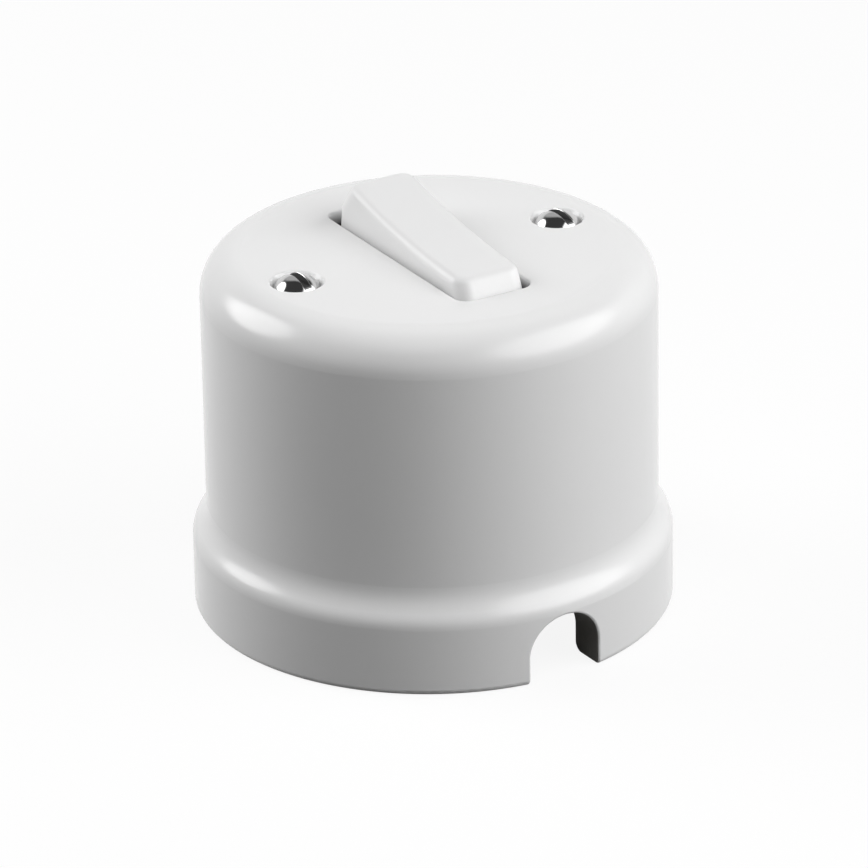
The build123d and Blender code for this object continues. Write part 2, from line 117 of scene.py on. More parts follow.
# Lamps: their light fades from the core to the edge, both shares of the lamp's size.
# A bearing is from the camera's side, and the glaze and the screws show the mirrored lamps.
LAMP_DISTANCE = 0.8
LAMP_MIDDLE = (0.5, 0.5, 0)
LAMP_EDGE = 0.55
SoftBox = namedtuple("SoftBox", "side bearing elevation width height core mirrored")
LAMPS = (
    SoftBox("right", math.radians(71.5), math.radians(33), 1.25, 0.85, 0.28, True),
    SoftBox("left", math.radians(-105), math.radians(30), 0.7, 0.66, 0.3, True),
    SoftBox("front", math.radians(-8), math.radians(65), 0.5, 0.5, 0.2, False),
)


def colour_property(name, description, default):
    return FloatVectorProperty(
        name=name, description=description, default=default, subtype="COLOR", size=3, min=0, max=1
    )


def length_property(name, description, default):
    return FloatProperty(
        name=name, description=description, default=default, unit="LENGTH", precision=5
    )


def angle_property(name, description, degrees):
    return FloatProperty(
        name=name, description=description, default=math.radians(degrees), subtype="ANGLE"
    )


def power_property(name, description, default):
    return FloatProperty(name=name, description=description, default=default, unit="POWER")


def share_property(name, description, default):
    return FloatProperty(
        name=name, description=description, default=default, subtype="FACTOR", min=0, max=1
    )


def amount_property(name, description, default):
    return FloatProperty(name=name, description=description, default=default, min=0)


class SwitchFinishes(PropertyGroup):
    """Colours of the finishes, where the cover is bare, and where painted shade darkens it."""

    glaze: colour_property("Glaze", "White of the glazed cover", (0.86, 0.86, 0.86))
    biscuit: colour_property("Biscuit", "Unglazed porcelain of the base", (0.80, 0.78, 0.74))
    rocker: colour_property("Rocker", "White plastic of the rocker", (0.86, 0.86, 0.86))
    plating: colour_property("Plating", "Bright plating of the cover screws", (0.58, 0.58, 0.58))
    # Painted shade: near black for the shade down the slots of the cover screws
    soil: colour_property("Soil", "Darkness in the slots of the cover screws", (0.07, 0.07, 0.07))
    brass: colour_property("Brass", "Terminals, inserts and contact strips", (0.76, 0.55, 0.25))
    zinc: colour_property("Zinc", "Zinc plating of the hidden screws", (0.66, 0.68, 0.70))
    steel: colour_property("Steel", "Bare steel of the rocker pin", (0.56, 0.56, 0.57))
    spring: colour_property("Spring", "Drawn wire of the plunger's spring", (0.48, 0.47, 0.45))
    silver: colour_property("Silver", "Contact tips", (0.87, 0.86, 0.83))
    thermoset: colour_property("Thermoset", "Moulding of the mechanism", (0.030, 0.026, 0.024))
    nylon: colour_property("Nylon", "Natural nylon of the plunger", (0.74, 0.72, 0.66))
    foot_line: length_property("Foot line", "The cover's foot is wiped bare below this", 0.35 * MM)
    bare_radius: length_property("Bare radius", "The cover is bare inside this radius", 29.3 * MM)
    bare_height: length_property("Bare height", "The cover is bare inside below this", 49.2 * MM)
    notch_half: length_property("Notch half width", "The notch is bare up to here", 5.8 * MM)
    notch_height: length_property("Notch height", "The notch is bare below this", 9.85 * MM)
    notch_turn: angle_property("Notch turn", "Bearing of the notch about the cover", 2)
    # Painted shade: the bare notch wall keeps this share of its colour, for the shade inside the
    # notch
    notch_shade_tone: share_property("Notch tone", "Share of its white that the notch keeps", 0.45)
    # Painted shade: below gap_top the glaze in the opening round the rocker darkens, fully by
    # gap_bottom, for the shade in the gap
    gap_shade_tone: share_property("Gap tone", "Share of its white that the dusty gap keeps", 0.12)
    gap_half_width: length_property("Gap half width", "Shading across the rocker", 6.6 * MM)
    gap_half_length: length_property("Gap half length", "Shading along the rocker", 20.0 * MM)
    gap_top: length_property("Gap top", "Height at which the dust begins", 53.6 * MM)
    gap_bottom: length_property("Gap bottom", "Height at which the dust is full", 51.8 * MM)


class SwitchScrews(PropertyGroup):
    """Sizes of the slotted screws."""

    thread_share: share_property("Thread share", "Depth of a thread as a share of its pitch", 0.55)
    point: length_property("Point", "Chamfer at the tip of the shank", 0.4 * MM)
    lip: length_property("Lip", "Rounding along the edges of a slot", 0.13 * MM)
    cover_shank: length_property("Cover shank", "Diameter of a cover screw's thread", 3.5 * MM)
    cover_pitch: length_property("Cover pitch", "Rise of a cover screw's thread per turn", 0.6 * MM)
    cover_head: length_property("Cover head", "Diameter of a cover screw's head", 6.8 * MM)
    cover_dome: length_property("Cover dome", "Rise of a cover screw's head", 2.0 * MM)
    cover_slot_width: length_property("Cover slot width", "Width of a cover screw's slot", 1.2 * MM)
    cover_slot_depth: length_property("Cover slot depth", "Depth of a cover screw's slot", 1.2 * MM)
    cover_slot_left: angle_property("Left slot", "Bearing of the left cover screw's slot", 96)
    cover_slot_right: angle_property("Right slot", "Bearing of the right cover screw's slot", 103)
    pan_shank: length_property("Pan shank", "Diameter of a hidden screw's thread", 3.0 * MM)
    pan_pitch: length_property("Pan pitch", "Rise of a hidden screw's thread per turn", 0.5 * MM)
    pan_head: length_property("Pan head", "Diameter of a hidden screw's head", 5.6 * MM)
    pan_height: length_property("Pan height", "Height of a hidden screw's head", 1.9 * MM)
    pan_edge: length_property("Pan edge", "Rounding of a hidden screw's head", 0.6 * MM)
    pan_slot_width: length_property("Pan slot width", "Width of a hidden screw's slot", 0.9 * MM)
    pan_slot_depth: length_property("Pan slot depth", "Depth of a hidden screw's slot", 0.9 * MM)


class SwitchStudio(PropertyGroup):
    """Camera, lamps and floor."""

    azimuth: angle_property("Azimuth", "Camera bearing about the switch", -30.42)
    elevation: angle_property("Elevation", "Camera height above the floor", 24.484)
    roll: angle_property("Roll", "Lean of the camera", 0.951)
    distance: length_property("Distance", "Camera to the middle of the switch", 0.9)
    focal_pixels: amount_property("Focal length", "In pixels of the square image", 6209.0)
    aim_height: length_property("Aim height", "Height that the camera is measured from", 23.49 * MM)
    aim_right: length_property("Aim right", "Sideways move of the framing", 0.36 * MM)
    aim_up: length_property("Aim up", "Upward move of the framing", 1.22 * MM)
    right_power: power_property("Right lamp", "Power of the soft box on the right", 12.3)
    left_power: power_property("Left lamp", "Power of the soft box on the left", 8.1)
    front_power: power_property("Front lamp", "Power of the soft box high in front", 2.3)
    ambient: amount_property("Ambient", "Grey light from all round", 0.03)
    ceiling: amount_property("Ceiling", "Dark room above, as reflections show it", 0.06)
    backdrop: amount_property("Backdrop", "Sheet high up behind, as reflections show it", 0.6)
    bounce: share_property("Bounce", "Share of its light that the floor throws back up", 0.085)
    floor_shade: share_property("Floor shade", "Share of the floor's white from the lamps", 0.1)


class Wire:
    """One output socket of a node tree; arithmetic on it adds Math nodes."""

    def __init__(self, tree, socket):
        self.tree = tree
        self.socket = socket

    def math(self, operation, *others):
        """Math node on this value and the others."""
        return math_node(self.tree, operation, self, *others)

    def __add__(self, other):
        return self.math("ADD", other)

    __radd__ = __add__

    def __sub__(self, other):
        return self.math("SUBTRACT", other)

    def __rsub__(self, other):
        return math_node(self.tree, "SUBTRACT", other, self)

    def __mul__(self, other):
        return self.math("MULTIPLY", other)

    __rmul__ = __mul__

    def __truediv__(self, other):
        return self.math("DIVIDE", other)

    def __rtruediv__(self, other):
        return math_node(self.tree, "DIVIDE", other, self)

    def below(self, limit):
        """1 where this value is under a limit."""
        return self.math("LESS_THAN", limit)

    def span(self, low, high, to_low=0.0, to_high=1.0, smooth=False):
        """Map this value from one range to another, without going past the ends."""
        settings = {"clamp": True, "interpolation_type": "SMOOTHSTEP" if smooth else "LINEAR"}
        inputs = {"Value": self, 1: low, 2: high, 3: to_low, 4: to_high}
        return add_node(self.tree, "ShaderNodeMapRange", settings, inputs)


def math_node(tree, operation, *values):
    """Math node on values or Wires, in their order."""
    return add_node(tree, "ShaderNodeMath", {"operation": operation}, dict(enumerate(values)))


def add_node(tree, kind, settings, inputs, output=0):
    """Add one node: its settings first, then its inputs by name or number. Returns a Wire."""
    node = tree.nodes.new(kind)
    for name, value in settings.items():
        setattr(node, name, value)
    for key, value in inputs.items():
        socket = node.inputs[key]
        if isinstance(value, Wire):
            value = [value]
        if isinstance(value, list):
            for wire in value:
                tree.links.new(wire.socket, socket)
        else:
            socket.default_value = value
    return Wire(tree, node.outputs[output])


def add_object(name, data):
    """Make an object and link it to the scene."""
    made = bpy.data.objects.new(name, data)
    bpy.context.scene.collection.objects.link(made)
    return made


class Finish:
    """A material with a Principled shader, and short calls for what its finishes share."""

    def __init__(self, name, **constants):
        self.material = bpy.data.materials.new(name)
        self.material.use_nodes = True
        self.tree = self.material.node_tree
        self.shader = self.tree.nodes["Principled BSDF"]
        for socket, value in constants.items():
            self.shader.inputs[socket.replace("_", " ")].default_value = value
        self.place = self.add("ShaderNodeTexCoord", output="Object")

    def add(self, kind, settings=None, inputs=None, output=0):
        return add_node(self.tree, kind, settings or {}, inputs or {}, output)

    def feed(self, socket, wire):
        self.tree.links.new(wire.socket, self.shader.inputs[socket])

    def noise(self, scale, detail=3.0, roughness=0.55, where=None):
        """Noise value from 0 to 1."""
        inputs = {
            "Vector": where or self.place,
            "Scale": scale,
            "Detail": detail,
            "Roughness": roughness,
        }
        return self.add("ShaderNodeTexNoise", {}, inputs)

    def lines(self, scales):
        """Noise drawn out into lines by its scales along the axes."""
        where = self.add("ShaderNodeMapping", {}, {"Vector": self.place, "Scale": scales})
        return self.noise(1.0, detail=2.0, roughness=0.6, where=where)

    def blend(self, share, first, second):
        """Colour between two others."""
        inputs = {0: share, MIX_FIRST: first, MIX_SECOND: second}
        return self.add("ShaderNodeMix", {"data_type": "RGBA"}, inputs, MIX_RESULT)

    def tone(self, share, colour, dark, light):
        """Colour between a darker and a lighter tint of another."""
        return self.blend(share, tinted(colour, dark), tinted(colour, light))

    def bump(self, height, distance, strength):
        """Normal of a surface that is raised by a height from 0 to 1, times a distance."""
        inputs = {"Height": height, "Distance": distance, "Strength": strength}
        return self.add("ShaderNodeBump", {}, inputs)

    def overlay(self, share, inputs):
        """Lay a second Principled shader with these inputs over the first one."""
        first = Wire(self.tree, self.shader.outputs[0])
        second = self.add("ShaderNodeBsdfPrincipled", {}, inputs)
        mix = self.add("ShaderNodeMixShader", {}, {0: share, 1: first, 2: second})
        self.tree.links.new(mix.socket, self.tree.nodes["Material Output"].inputs["Surface"])


def tinted(colour, factor):
    """A colour made lighter or darker, with an alpha of 1."""
    return (*(min(1.0, c * factor) for c in colour), 1.0)


def cover_places(finish, finishes):
    """Where the cover is bare inside and on its foot, where it is notch wall (bare, and darkened as
    painted shade), and the painted shade that deepens down the gap round the rocker.
    """
    x, y, z = (
        finish.add("ShaderNodeSeparateXYZ", {}, {0: finish.place}, axis) for axis in range(3)
    )
    radius = (x * x + y * y).math("SQRT")
    inside = radius.below(finishes.bare_radius) * z.below(finishes.bare_height)
    foot = z.below(finishes.foot_line)

    cos, sin = math.cos(finishes.notch_turn), math.sin(finishes.notch_turn)
    across = x * cos + y * sin
    along = y * cos - x * sin
    above = (z - (finishes.notch_height - finishes.notch_half)).math("MAXIMUM", 0.0)
    reach = (across * across + above * above).math("SQRT")
    notch = reach.below(finishes.notch_half) * along.below(0.0)

    # Painted shade: darker with depth in the opening round the rocker, where shade falls in the gap
    beside = x.math("ABSOLUTE").below(finishes.gap_half_width)
    within = y.math("ABSOLUTE").below(finishes.gap_half_length)
    shading = beside * within * z.span(finishes.gap_bottom, finishes.gap_top, 1.0, 0.0)
    return inside.math("MAXIMUM", foot), notch, shading


def glaze_material(finishes):
    """Glossy white glaze, a little uneven, with painted shade down the gap round the rocker, and
    bare biscuit where there is none, painted darker on the notch wall as shade.
    """
    finish = Finish("porcelain_glaze", IOR=1.5, Specular_IOR_Level=0.4)
    bare, notch, shading = cover_places(finish, finishes)
    drift = finish.noise(45.0, detail=2.0)
    glaze = finish.tone(drift, finishes.glaze, 0.985, 1.015)
    # Painted shade: the glaze darkens down into the gap round the rocker
    shaded = tinted(finishes.glaze, finishes.gap_shade_tone)
    finish.feed("Base Color", finish.blend(shading, glaze, shaded))
    finish.feed("Roughness", finish.noise(160.0).span(*NOISE_SPAN, 0.15, 0.2))
    finish.feed("Normal", finish.bump(finish.noise(70.0, detail=1.0), 0.05 * MM, 0.6))

    grain = finish.noise(2600.0, detail=2.0)
    clay = finish.tone(drift, finishes.biscuit, 0.95, 1.03)
    # Painted shade: the notch wall's biscuit is darkened for the shade inside the notch
    notch_shaded = tinted(finishes.biscuit, finishes.notch_shade_tone)
    biscuit = {
        "Base Color": finish.blend(notch, clay, notch_shaded),
        "Roughness": grain.span(*NOISE_SPAN, 0.7, 0.85),
        "Specular IOR Level": 0.05,
        "Normal": finish.bump(grain, 0.02 * MM, 0.5),
    }
    finish.overlay(bare.math("MAXIMUM", notch), biscuit)
    return finish.material


def biscuit_material(finishes):
    """Unglazed pressed porcelain with a fine grain."""
    finish = Finish("porcelain_base", IOR=1.5)
    grain = finish.noise(2600.0, detail=2.0)
    drift = finish.noise(90.0)
    finish.feed("Base Color", finish.tone(drift, finishes.biscuit, 0.96, 1.03))
    finish.feed("Roughness", drift.span(*NOISE_SPAN, 0.5, 0.66))
    finish.feed("Normal", finish.bump(grain, 0.02 * MM, 0.5))
    return finish.material


def rocker_material(finishes):
    """Moulded white plastic with a slightly uneven gloss."""
    finish = Finish("rocker_plastic", IOR=1.5, Specular_IOR_Level=0.3)
    drift = finish.noise(120.0, detail=2.0)
    finish.feed("Base Color", finish.tone(drift, finishes.rocker, 0.985, 1.01))
    finish.feed("Roughness", finish.noise(240.0).span(*NOISE_SPAN, 0.285, 0.335))
    finish.feed("Normal", finish.bump(finish.noise(60.0, detail=1.0), 0.03 * MM, 0.5))
    return finish.material


def metal_material(name, colour, smooth, rough, scales):
    """Metal whose tone and gloss drift, with fine drawn or turned lines."""
    finish = Finish(name, Metallic=1.0)
    drift = finish.noise(260.0, detail=4.0)
    lines = finish.lines(scales)
    finish.feed("Base Color", finish.tone(drift, colour, 0.9, 1.06))
    finish.feed("Roughness", (lines * 0.6 + drift * 0.4).span(*LINES_SPAN, smooth, rough))
    finish.feed("Normal", finish.bump(lines, 0.004 * MM, 0.5))
    return finish.material


def plating_material(finishes):
    """Bright plating with turned lines, and a dark, dull painted shade inside the slot."""
    finish = Finish("plated_screws", Metallic=1.0)
    drift = finish.noise(420.0)
    lines = finish.lines(FACED)
    finish.feed("Base Color", finish.tone(drift, finishes.plating, 0.94, 1.05))
    finish.feed("Roughness", lines.span(*LINES_SPAN, 0.06, 0.14))
    finish.feed("Normal", finish.bump(lines, 0.001 * MM, 0.5))

    # Painted shade: the slot's inside is near black, dull and barely reflective, for the shade down
    # the slot
    soil = finish.add("ShaderNodeAttribute", {"attribute_name": "soil"}, output="Fac")
    slot_shade_finish = {
        "Base Color": finish.tone(drift, finishes.soil, 0.6, 1.4),
        "Roughness": drift.span(*NOISE_SPAN, 0.5, 0.65),
        "Specular IOR Level": 0.15,
    }
    finish.overlay(soil, slot_shade_finish)
    return finish.material


def thermoset_material(finishes):
    """Dark filled moulding with mottled filler."""
    finish = Finish("frame_plastic", IOR=1.55)
    filler = finish.noise(1500.0, detail=4.0, roughness=0.7)
    finish.feed("Base Color", finish.tone(filler, finishes.thermoset, 0.7, 1.6))
    finish.feed("Roughness", filler.span(*NOISE_SPAN, 0.34, 0.5))
    finish.feed("Normal", finish.bump(filler, 0.006 * MM, 0.5))
    return finish.material


def nylon_material(finishes):
    """Slightly waxy natural nylon."""
    finish = Finish("plunger_plastic", IOR=1.53)
    drift = finish.noise(700.0)
    finish.feed("Base Color", finish.tone(drift, finishes.nylon, 0.95, 1.04))
    finish.feed("Roughness", drift.span(*NOISE_SPAN, 0.36, 0.48))
    finish.feed("Normal", finish.bump(drift, 0.006 * MM, 0.4))
    return finish.material


def make_finishes(finishes):
    """All materials by the record's slot names."""
    made = {
        "porcelain_glaze": glaze_material(finishes),
        "porcelain_base": biscuit_material(finishes),
        "rocker_plastic": rocker_material(finishes),
        "plated_screws": plating_material(finishes),
        "frame_plastic": thermoset_material(finishes),
        "plunger_plastic": nylon_material(finishes),
    }
    for slot, (colour, smooth, rough, scales) in METALS.items():
        made[slot] = metal_material(slot, getattr(finishes, colour), smooth, rough, scales)
    return made


NODE_FINISHES = {
    "cover": "porcelain_glaze",
    "cover_screws": "plated_screws",
    "cover_pillars": "brass",
    "pillar_washers": "zinc_steel",
    "pillar_screws": "zinc_steel",
    "base": "porcelain_base",
    "mechanism_frame": "frame_plastic",
    "frame_inserts": "brass",
    "mechanism_screws": "zinc_steel",
    "rocker_pin": "pin_steel",
    "common_contact": "brass",
    "front_contact": "brass",
    "rear_contact": "brass",
    "fixed_contact_tips": "silver_tips",
    "terminal_clamps": "brass",
    "terminal_screws": "zinc_steel",
    "rocker": "rocker_plastic",
    "plunger_spring": "spring_steel",
    "plunger": "plunger_plastic",
    "contact_lever": "brass",
    "lever_contact_tips": "silver_tips",
}


class SWITCH_OT_finishes(Operator):
    """Give every node of the frame its material"""

    bl_idname = "switch.finishes"
    bl_label = "Finishes"

    def execute(self, context):
        made = make_finishes(context.scene.switch_finishes)
        for name, slot in NODE_FINISHES.items():
            node = NODES[name]
            if not node.material_slots:
                raise RuntimeError(f"node {name} has no material slot")
            for material_slot in node.material_slots:
                material_slot.material = made[slot]
        return {"FINISHED"}


def slot_lines(head_r, slot_width, lip):
    """Lines parallel to the slot, from a head's rim to near its middle.

    Each has its distance from the middle and its drop below the top, None on the slot's floor.
    """
    half = slot_width / 2
    first = math.asin((half + lip) / head_r)
    lines = []
    for i in range(LAND_LINES):
        turn = math.pi / 2 + (first - math.pi / 2) * i / LAND_LINES
        lines.append((head_r * math.sin(turn), 0.0))
    for i in range(LIP_LINES + 1):
        turn = math.pi / 2 * i / LIP_LINES
        lines.append((half + lip * (1 - math.sin(turn)), lip * (1 - math.cos(turn))))
    return lines + [(half, None), (half / 2, None)]


def head_object(name, head_r, slot_width, floor, lip, top, under):
    """Slotted screw head, built from closed loops parallel to its slot."""
    lines = slot_lines(head_r, slot_width, lip)
    lines += [(-u, drop) for u, drop in reversed(lines)]
    bm = bmesh.new()
    soil = bm.verts.layers.float.new("soil")
    loops = []
    for u, drop in lines:
        reach = math.sqrt(max(0.0, head_r**2 - u**2))
        upper = []
        lower = []
        for i in range(LOOP_POINTS):
            v = reach * math.sin(math.pi * (i / (LOOP_POINTS - 1) - 0.5))
            radius = min(head_r, math.hypot(u, v))
            room = max(0.0, top(radius) - floor)
            depth = room if drop is None else min(drop, room)
            # Points deep in the slot are marked for the painted slot shade
            upper.append((u, v, top(radius) - depth, depth > SLOT_SHADE_FROM * lip))
            lower.append((u, v, under(radius), False))
        loop = []
        for *point, in_slot_shade in upper + lower[::-1]:
            loop.append(bm.verts.new(point))
            loop[-1][soil] = in_slot_shade
        loops.append(loop)
    for loop, following in zip(loops, loops[1:]):
        for i in range(len(loop)):
            j = (i + 1) % len(loop)
            bm.faces.new((loop[i], loop[j], following[j], following[i]))
    bmesh.ops.remove_doubles(bm, verts=bm.verts, dist=HEAD_WELD)
    bmesh.ops.dissolve_degenerate(bm, dist=HEAD_WELD, edges=bm.edges)
    bmesh.ops.recalc_face_normals(bm, faces=bm.faces)
    mesh = bpy.data.meshes.new(name)
    bm.to_mesh(mesh)
    bm.free()
    return add_object(name, mesh)


def cover_head(screws):
    """Raised countersunk head, with its rim at z = 0."""
    head_r = screws.cover_head / 2
    shank_r = screws.cover_shank / 2
    dome_r = (head_r**2 + screws.cover_dome**2) / (2 * screws.cover_dome)

    def top(radius):
        return screws.cover_dome - dome_r + math.sqrt(dome_r**2 - radius**2)

    def under(radius):
        return max(radius, shank_r) - head_r

    floor = screws.cover_dome - screws.cover_slot_depth
    return head_object("cover_head", head_r, screws.cover_slot_width, floor, screws.lip, top, under)


def pan_head(screws):
    """Pan head, with its seat at z = 0."""
    head_r = screws.pan_head / 2
    edge = screws.pan_edge

    def top(radius):
        past = max(0.0, radius - (head_r - edge))
        return screws.pan_height - edge + math.sqrt(max(0.0, edge**2 - past**2))

    def under(radius):
        return 0.0

    floor = screws.pan_height - screws.pan_slot_depth
    return head_object("pan_head", head_r, screws.pan_slot_width, floor, screws.lip, top, under)


SCREW_INPUTS = {
    "Places": "NodeSocketGeometry",
    "Head": "NodeSocketObject",
    "Radius": "NodeSocketFloat",
    "Neck": "NodeSocketFloat",
    "Tip": "NodeSocketFloat",
    "Point": "NodeSocketFloat",
    "Pitch": "NodeSocketFloat",
    "Groove": "NodeSocketFloat",
    "Sides": "NodeSocketInt",
    "Rings": "NodeSocketInt",
    "Material": "NodeSocketMaterial",
}


def threaded_shank(tree, given):
    """Turned shank below z = Neck, with a helical groove and a chamfered tip."""
    sides, rings = given["Sides"], given["Rings"]
    neck, tip, pitch = given["Neck"], given["Tip"], given["Pitch"]
    index = add_node(tree, "GeometryNodeInputIndex", {}, {})
    row = index.math("FLOORED_MODULO", rings)
    turn = (index / rings).math("FLOOR") / sides
    z = row.span(1.0, rings - 2, neck, tip)
    plain = (z - tip + given["Radius"] - given["Point"]).math("MINIMUM", given["Radius"])
    full = z.span(neck - pitch * THREAD_STARTS, neck - pitch * THREAD_FULL)
    phase = (z / pitch + turn).math("FRACT")
    crest = (phase * 2 - 1).math("ABSOLUTE")
    open_row = row.math("GREATER_THAN", 0.5) * row.below(rings - 1.5)
    radius = (plain - given["Groove"] * (1 - crest) * full) * open_row
    angle = turn * (-2 * math.pi)
    around = {0: radius * angle.math("COSINE"), 1: radius * angle.math("SINE"), 2: z}
    place = add_node(tree, "ShaderNodeCombineXYZ", {}, around)
    counts = {"Vertices X": sides + 1, "Vertices Y": rings}
    grid = add_node(tree, "GeometryNodeMeshGrid", {}, counts)
    shank = add_node(tree, "GeometryNodeSetPosition", {}, {"Geometry": grid, "Position": place})
    weld = {"Geometry": shank, "Distance": SHANK_WELD}
    return add_node(tree, "GeometryNodeMergeByDistance", {}, weld)


def screw_tree():
    """A head on a threaded shank, set on every place.

    Returns the tree and the identifiers of its inputs by name.
    """
    tree = bpy.data.node_groups.new("slotted_screws", "GeometryNodeTree")
    keys = {}
    for name, kind in SCREW_INPUTS.items():
        keys[name] = tree.interface.new_socket(name, in_out="INPUT", socket_type=kind).identifier
    tree.interface.new_socket("Screws", in_out="OUTPUT", socket_type="NodeSocketGeometry")
    start = tree.nodes.new("NodeGroupInput")
    given = {name: Wire(tree, start.outputs[name]) for name in SCREW_INPUTS}

    shank = threaded_shank(tree, given)
    head = add_node(tree, "GeometryNodeObjectInfo", {}, {"Object": given["Head"]}, "Geometry")
    screw = add_node(tree, "GeometryNodeJoinGeometry", {}, {"Geometry": [shank, head]})
    vector = {"data_type": "FLOAT_VECTOR"}
    turn = add_node(
        tree, "GeometryNodeInputNamedAttribute", vector, {"Name": "turn"}, "Attribute"
    )
    turn = add_node(tree, "FunctionNodeEulerToRotation", {}, {0: turn})
    placed = {"Points": given["Places"], "Instance": screw, "Rotation": turn}
    screws = add_node(tree, "GeometryNodeInstanceOnPoints", {}, placed)
    screws = add_node(tree, "GeometryNodeRealizeInstances", {}, {"Geometry": screws})
    smooth = {"Geometry": screws, "Shade Smooth": True}
    screws = add_node(tree, "GeometryNodeSetShadeSmooth", {}, smooth)
    fold = add_node(tree, "GeometryNodeInputMeshEdgeAngle", {}, {})
    sharp = fold.math("GREATER_THAN", SHARP_FOLD)
    edges = {"Geometry": screws, "Selection": sharp, "Shade Smooth": False}
    screws = add_node(tree, "GeometryNodeSetShadeSmooth", {"domain": "EDGE"}, edges)
    dressed = {"Geometry": screws, "Material": given["Material"]}
    screws = add_node(tree, "GeometryNodeSetMaterial", {}, dressed)
    end = tree.nodes.new("NodeGroupOutput")
    tree.links.new(screws.socket, end.inputs["Screws"])
    return tree, keys


def make_screws(name, node, tree_and_keys, places, inputs):
    """Screws of one node as one plain mesh: places are points with a turn each."""
    points = bpy.data.meshes.new(name)
    points.from_pydata([place for place, turn in places], [], [])
    turns = points.attributes.new("turn", "FLOAT_VECTOR", "POINT")
    for item, (place, turn) in zip(turns.data, places):
        item.vector = turn
    piece = add_object(name, points)
    tree, keys = tree_and_keys
    modifier = piece.modifiers.new("screws", "NODES")
    modifier.node_group = tree
    material = NODES[node].material_slots[0].material
    inputs["Material"] = material
    for key, value in inputs.items():
        modifier[keys[key]] = value
    drawn = piece.evaluated_get(bpy.context.evaluated_depsgraph_get())
    mesh = bpy.data.meshes.new_from_object(drawn)
    if not mesh.polygons:
        raise RuntimeError(f"{name} came out empty")
    mesh.materials.clear()
    mesh.materials.append(material)
    piece.modifiers.clear()
    piece.data = mesh
    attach(piece, "housing")
    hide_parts(node)


class SWITCH_OT_screws(Operator):
    """Make the slotted screws of the cover, the pillars, the mechanism and the terminals"""

    bl_idname = "switch.screws"
    bl_label = "Screws"

    def execute(self, context):
        screws = context.scene.switch_screws
        tree = screw_tree()

        def threaded(head, shank, pitch, neck, tip):
            return {
                "Head": head,
                "Radius": shank / 2,
                "Neck": neck,
                "Tip": tip,
                "Point": screws.point,
                "Pitch": pitch,
                "Groove": screws.thread_share * pitch,
                "Sides": THREAD_SIDES,
                "Rings": END_RINGS + round((neck - tip) / pitch * RINGS_PER_TURN),
            }

        def pan_threaded(tip):
            return threaded(pan, screws.pan_shank, screws.pan_pitch, 0.0, tip)

        raised = cover_head(screws)
        low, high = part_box("cover_screws")
        x = (high[0] - low[0] - screws.cover_head) / 2
        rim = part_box("cover")[1][2] - COVER_SCREW_SINK
        places = [
            ((-x, 0, rim), (0, 0, screws.cover_slot_left - math.pi / 2)),
            ((x, 0, rim), (0, 0, screws.cover_slot_right - math.pi / 2)),
        ]
        neck = (screws.cover_shank - screws.cover_head) / 2
        sizes = threaded(raised, screws.cover_shank, screws.cover_pitch, neck, low[2] - rim)
        make_screws("slotted_cover_screws", "cover_screws", tree, places, sizes)

        pan = pan_head(screws)
        low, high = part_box("pillar_screws")
        x = (high[0] - low[0] - screws.pan_head) / 2
        seat = low[2] + screws.pan_height
        places = [((side * x, 0, seat), (math.pi, 0, side * PILLAR_SCREW_TURN)) for side in (-1, 1)]
        sizes = pan_threaded(seat - high[2])
        make_screws("slotted_pillar_screws", "pillar_screws", tree, places, sizes)

        low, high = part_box("mechanism_screws")
        y = (high[1] - low[1] - screws.pan_head) / 2
        seat = low[2] + screws.pan_height
        places = [((0, side * y, seat), (math.pi, 0, side * FRAME_SCREW_TURN)) for side in (-1, 1)]
        sizes = pan_threaded(seat - high[2])
        make_screws("slotted_frame_screws", "mechanism_screws", tree, places, sizes)

        low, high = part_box("terminal_screws")
        x = high[0] - screws.pan_head / 2
        y = high[1] - screws.pan_head / 2
        seat = high[2] - screws.pan_height
        seats = ((0, -y, seat), (0, y, seat), (x, 0, seat))
        places = [(point, (0, 0, turn)) for point, turn in zip(seats, TERMINAL_SCREW_TURNS)]
        sizes = pan_threaded(low[2] - seat)
        make_screws("slotted_terminal_screws", "terminal_screws", tree, places, sizes)
        for head in (raised, pan):
            bpy.data.objects.remove(head)
        return {"FINISHED"}


def soft_box(name, position, target, box, power):
    """Rectangular lamp that faces a point, bright in its core and fading to its edges."""
    data = bpy.data.lights.new(name, "AREA")
    data.shape = "RECTANGLE"
    data.size = box.width
    data.size_y = box.height
    data.energy = power
    data.use_nodes = True
    tree = data.node_tree
    place = add_node(tree, "ShaderNodeNewGeometry", {}, {}, "Parametric")
    ends = {0: place, 1: LAMP_MIDDLE}
    reach = add_node(tree, "ShaderNodeVectorMath", {"operation": "DISTANCE"}, ends, "Value")
    level = reach.span(box.core, LAMP_EDGE, 1.0, 0.0, smooth=True)
    tree.links.new(level.socket, tree.nodes["Emission"].inputs["Strength"])
    lamp = add_object(name, data)
    facing = (Vector(target) - Vector(position)).to_track_quat("-Z", "Y")
    lamp.matrix_world = Matrix.LocRotScale(Vector(position), facing, None)
    return lamp


def camera_axes(studio):
    """Right, up and back directions of the camera."""
    sin_turn, cos_turn = math.sin(studio.azimuth), math.cos(studio.azimuth)
    sin_rise, cos_rise = math.sin(studio.elevation), math.cos(studio.elevation)
    back = Vector((sin_turn * cos_rise, -cos_turn * cos_rise, sin_rise))
    level_right = Vector((cos_turn, sin_turn, 0))
    level_up = back.cross(level_right)
    right = level_right * math.cos(studio.roll) - level_up * math.sin(studio.roll)
    up = level_right * math.sin(studio.roll) + level_up * math.cos(studio.roll)
    return right, up, back


